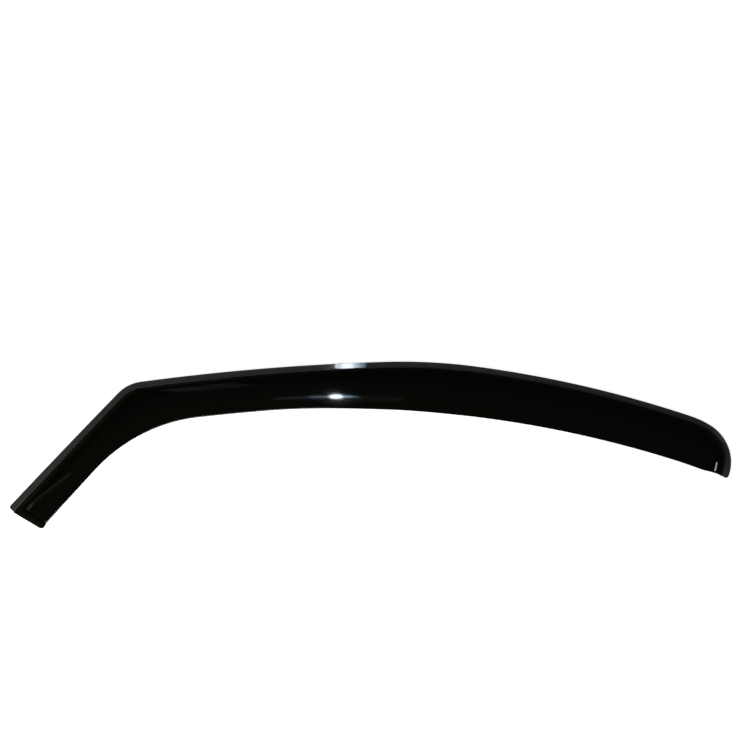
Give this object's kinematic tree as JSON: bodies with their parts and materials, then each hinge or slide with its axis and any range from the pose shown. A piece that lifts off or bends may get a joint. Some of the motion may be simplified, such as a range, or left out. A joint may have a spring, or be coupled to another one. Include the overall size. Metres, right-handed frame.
{
  "type": "window rain deflector",
  "caption": "In-channel rain deflector for a front side window: a heat-formed sheet of dark acrylic with a flat flange, a stepped wall and a crowned glossy body, closed at both ends.",
  "frame": {"origin": "centre of the bounding box in plan, on the surface that the part rests on", "axes": "+X from the foot on the windscreen pillar to the tail, +Y towards the roof of the car, +Z away from the glass, with the outer face up"},
  "size_m": [0.9076, 0.2122, 0.0212],
  "materials": {
    "smoked_acrylic": "polished and glossy on the body, matt and abraded on the flange"
  },
  "bodies": {
    "root": {"deflector": "smoked_acrylic"}
  },
  "joints": []
}
